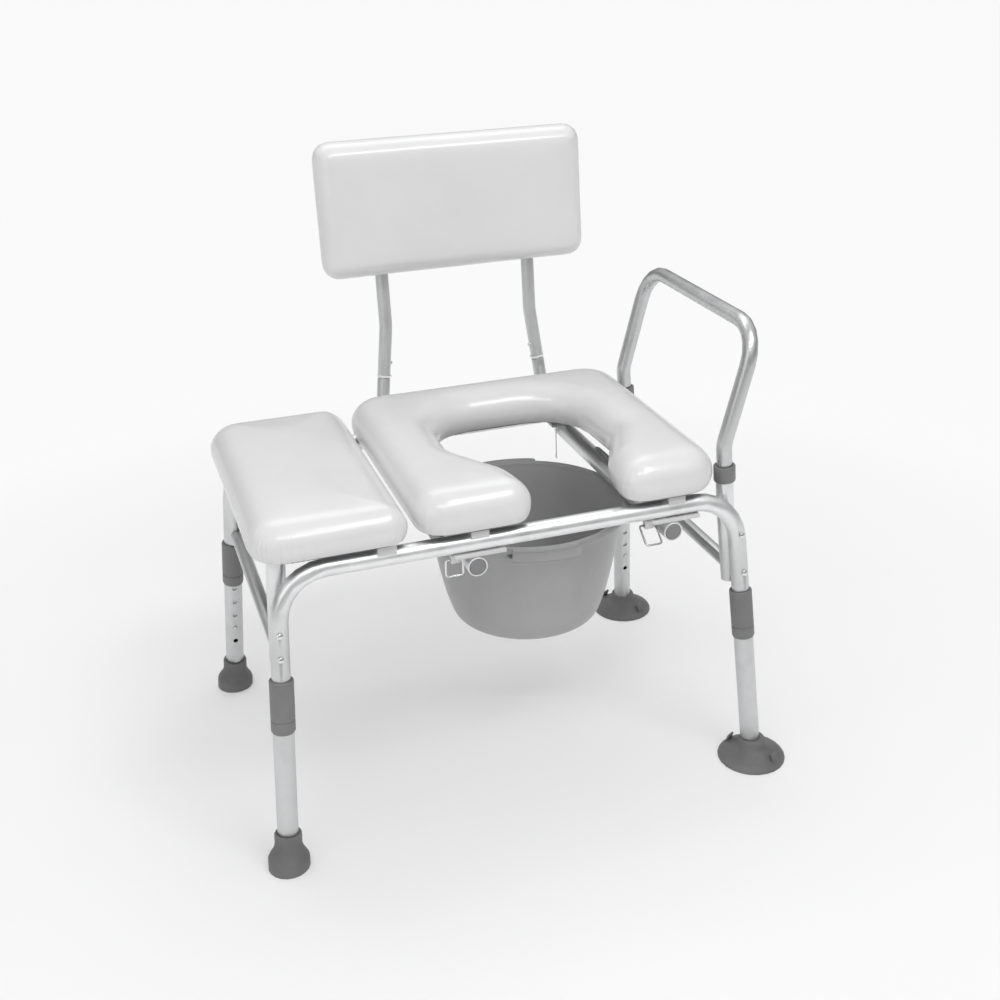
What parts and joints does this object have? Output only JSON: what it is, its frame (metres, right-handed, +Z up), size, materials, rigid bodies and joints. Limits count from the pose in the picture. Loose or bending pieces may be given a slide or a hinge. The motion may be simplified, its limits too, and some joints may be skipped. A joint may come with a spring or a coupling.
{
  "type": "commode transfer bench",
  "caption": "Commode chair with transfer seat: bent aluminium tube frame, padded horseshoe seat and side seat, backrest, one side arm, slide-out pail and height adjustable legs.",
  "frame": {"origin": "on the floor, under the middle of the overall footprint", "axes": "+X towards the side arm, +Y towards the backrest, +Z up"},
  "size_m": [0.7886, 0.584, 0.8776],
  "materials": {
    "front_frame_tube": "satin clear-anodised",
    "rear_frame_tube": "satin clear-anodised",
    "left_front_side_tube": "satin clear-anodised",
    "left_rear_side_tube": "satin clear-anodised",
    "arm_receiver_front": "satin clear-anodised",
    "arm_receiver_rear": "satin clear-anodised",
    "left_side_stretcher": "satin clear-anodised",
    "right_side_stretcher": "satin clear-anodised",
    "rivet_front_left_upper": "steel",
    "rivet_front_left_lower": "steel",
    "rivet_front_right_upper": "steel",
    "rivet_front_right_lower": "steel",
    "rivet_rear_left_upper": "steel",
    "rivet_rear_left_lower": "steel",
    "rivet_rear_right_upper": "steel",
    "rivet_rear_right_lower": "steel",
    "arm_collar_front": "mid grey plastic",
    "arm_collar_rear": "mid grey plastic",
    "pail_rail_left": "satin clear-anodised",
    "pail_rail_right": "satin clear-anodised",
    "pail_rail_cap_left": "mid grey plastic",
    "pail_rail_cap_right": "mid grey plastic",
    "rail_clamp_front_left": "light grey plastic",
    "rail_clamp_rear_left": "light grey plastic",
    "rail_clamp_front_right": "light grey plastic",
    "rail_clamp_rear_right": "light grey plastic",
    "commode_seat_board": "dark moulded base board",
    "transfer_seat_board": "dark moulded base board",
    "commode_seat_pad": "padded white vinyl, soft gloss",
    "transfer_seat_pad": "padded white vinyl, soft gloss",
    "back_stub_left": "satin clear-anodised",
    "back_stub_right": "satin clear-anodised",
    "pail_guide_left": "grey plastic",
    "pail_guide_right": "grey plastic",
    "leg_extension_front_left": "satin clear-anodised",
    "leg_collar_front_left": "mid grey plastic",
    "foot_tip_front_left": "dark grey rubber",
    "leg_button_front_left": "bright steel",
    "leg_extension_front_right": "satin clear-anodised",
    "leg_collar_front_right": "mid grey plastic",
    "suction_foot_front_right": "dark grey rubber",
    "leg_button_front_right": "bright steel",
    "leg_extension_rear_left": "satin clear-anodised",
    "leg_collar_rear_left": "mid grey plastic",
    "foot_tip_rear_left": "dark grey rubber",
    "leg_button_rear_left": "bright steel",
    "leg_extension_rear_right": "satin clear-anodised",
    "leg_collar_rear_right": "mid grey plastic",
    "suction_foot_rear_right": "dark grey rubber",
    "leg_button_rear_right": "bright steel",
    "arm_rail": "satin clear-anodised",
    "back_post_left": "satin clear-anodised",
    "back_post_right": "satin clear-anodised",
    "backrest_board": "dark moulded base board",
    "backrest_pad": "padded white vinyl, soft gloss",
    "back_button_left": "bright steel",
    "back_button_right": "bright steel",
    "pail": "mid grey moulded plastic",
    "wire_bail_left": "bright steel",
    "wire_bail_right": "bright steel"
  },
  "bodies": {
    "frame": {"front_frame_tube": "front_frame_tube", "rear_frame_tube": "rear_frame_tube", "left_front_side_tube": "left_front_side_tube", "left_rear_side_tube": "left_rear_side_tube", "arm_receiver_front": "arm_receiver_front", "arm_receiver_rear": "arm_receiver_rear", "left_side_stretcher": "left_side_stretcher", "right_side_stretcher": "right_side_stretcher", "rivet_front_left_upper": "rivet_front_left_upper", "rivet_front_left_lower": "rivet_front_left_lower", "rivet_front_right_upper": "rivet_front_right_upper", "rivet_front_right_lower": "rivet_front_right_lower", "rivet_rear_left_upper": "rivet_rear_left_upper", "rivet_rear_left_lower": "rivet_rear_left_lower", "rivet_rear_right_upper": "rivet_rear_right_upper", "rivet_rear_right_lower": "rivet_rear_right_lower", "arm_collar_front": "arm_collar_front", "arm_collar_rear": "arm_collar_rear", "pail_rail_left": "pail_rail_left", "pail_rail_right": "pail_rail_right", "pail_rail_cap_left": "pail_rail_cap_left", "pail_rail_cap_right": "pail_rail_cap_right", "rail_clamp_front_left": "rail_clamp_front_left", "rail_clamp_rear_left": "rail_clamp_rear_left", "rail_clamp_front_right": "rail_clamp_front_right", "rail_clamp_rear_right": "rail_clamp_rear_right", "commode_seat_board": "commode_seat_board", "transfer_seat_board": "transfer_seat_board", "commode_seat_pad": "commode_seat_pad", "transfer_seat_pad": "transfer_seat_pad", "back_stub_left": "back_stub_left", "back_stub_right": "back_stub_right", "pail_guide_left": "pail_guide_left", "pail_guide_right": "pail_guide_right"},
    "leg_front_left": {"leg_extension_front_left": "leg_extension_front_left", "leg_collar_front_left": "leg_collar_front_left", "foot_tip_front_left": "foot_tip_front_left"},
    "leg_snap_front_left": {"leg_button_front_left": "leg_button_front_left"},
    "leg_front_right": {"leg_extension_front_right": "leg_extension_front_right", "leg_collar_front_right": "leg_collar_front_right", "suction_foot_front_right": "suction_foot_front_right"},
    "leg_snap_front_right": {"leg_button_front_right": "leg_button_front_right"},
    "leg_rear_left": {"leg_extension_rear_left": "leg_extension_rear_left", "leg_collar_rear_left": "leg_collar_rear_left", "foot_tip_rear_left": "foot_tip_rear_left"},
    "leg_snap_rear_left": {"leg_button_rear_left": "leg_button_rear_left"},
    "leg_rear_right": {"leg_extension_rear_right": "leg_extension_rear_right", "leg_collar_rear_right": "leg_collar_rear_right", "suction_foot_rear_right": "suction_foot_rear_right"},
    "leg_snap_rear_right": {"leg_button_rear_right": "leg_button_rear_right"},
    "arm": {"arm_rail": "arm_rail"},
    "backrest": {"back_post_left": "back_post_left", "back_post_right": "back_post_right", "backrest_board": "backrest_board", "backrest_pad": "backrest_pad"},
    "back_snap_left": {"back_button_left": "back_button_left"},
    "back_snap_right": {"back_button_right": "back_button_right"},
    "pail": {"pail": "pail"},
    "wire_bail_left": {"wire_bail_left": "wire_bail_left"},
    "wire_bail_right": {"wire_bail_right": "wire_bail_right"}
  },
  "joints": [
    {"name": "leg_slide_front_left", "type": "slide", "parent": "frame", "child": "leg_front_left", "axis": [-0.0693, -0.1047, -0.9921], "range_m": [0, 0.0762], "deforming": ["leg_button_front_left"]},
    {"name": "leg_button_press_front_left", "type": "slide", "parent": "frame", "child": "leg_snap_front_left", "axis": [0.0073, -0.9945, 0.1044], "range_m": [0, 0.003], "stiffness_N_per_m": 900},
    {"name": "leg_slide_front_right", "type": "slide", "parent": "frame", "child": "leg_front_right", "axis": [0.0693, -0.1047, -0.9921], "range_m": [0, 0.0762], "deforming": ["leg_button_front_right"]},
    {"name": "leg_button_press_front_right", "type": "slide", "parent": "frame", "child": "leg_snap_front_right", "axis": [-0.0073, -0.9945, 0.1044], "range_m": [0, 0.003], "stiffness_N_per_m": 900},
    {"name": "leg_slide_rear_left", "type": "slide", "parent": "frame", "child": "leg_rear_left", "axis": [-0.0693, 0.1047, -0.9921], "range_m": [0, 0.0762], "deforming": ["leg_button_rear_left"]},
    {"name": "leg_button_press_rear_left", "type": "slide", "parent": "frame", "child": "leg_snap_rear_left", "axis": [0.0073, 0.9945, 0.1044], "range_m": [0, 0.003], "stiffness_N_per_m": 900},
    {"name": "leg_slide_rear_right", "type": "slide", "parent": "frame", "child": "leg_rear_right", "axis": [0.0693, 0.1047, -0.9921], "range_m": [0, 0.0762], "deforming": ["leg_button_rear_right"]},
    {"name": "leg_button_press_rear_right", "type": "slide", "parent": "frame", "child": "leg_snap_rear_right", "axis": [-0.0073, 0.9945, 0.1044], "range_m": [0, 0.003], "stiffness_N_per_m": 900},
    {"name": "arm_lift", "type": "slide", "parent": "frame", "child": "arm", "axis": [-0.0697, 0, 0.9976], "range_m": [0, 0.12]},
    {"name": "backrest_lift", "type": "slide", "parent": "frame", "child": "backrest", "axis": [0, 0.0995, 0.995], "range_m": [0, 0.08], "deforming": ["back_stub_left", "back_stub_right", "back_button_left", "back_button_right"]},
    {"name": "back_button_press_left", "type": "slide", "parent": "frame", "child": "back_snap_left", "axis": [-0.9924, 0.0123, 0.1227], "range_m": [0, 0.003], "stiffness_N_per_m": 300},
    {"name": "back_button_press_right", "type": "slide", "parent": "frame", "child": "back_snap_right", "axis": [0.9924, 0.0123, 0.1227], "range_m": [0, 0.003], "stiffness_N_per_m": 300},
    {"name": "pail_slide", "type": "slide", "parent": "frame", "child": "pail", "axis": [0, -1, 0], "range_m": [0, 0.3]},
    {"name": "wire_bail_swing_left", "type": "hinge", "parent": "frame", "child": "wire_bail_left", "pos_m": [-0.10088, -0.197, 0.4], "axis": [1, 0, 0], "range_deg": [-75, 20], "stiffness_Nm_per_rad": 0.08},
    {"name": "wire_bail_swing_right", "type": "hinge", "parent": "frame", "child": "wire_bail_right", "pos_m": [0.18012, -0.197, 0.4], "axis": [1, 0, 0], "range_deg": [-25, 12], "stiffness_Nm_per_rad": 0.08}
  ]
}
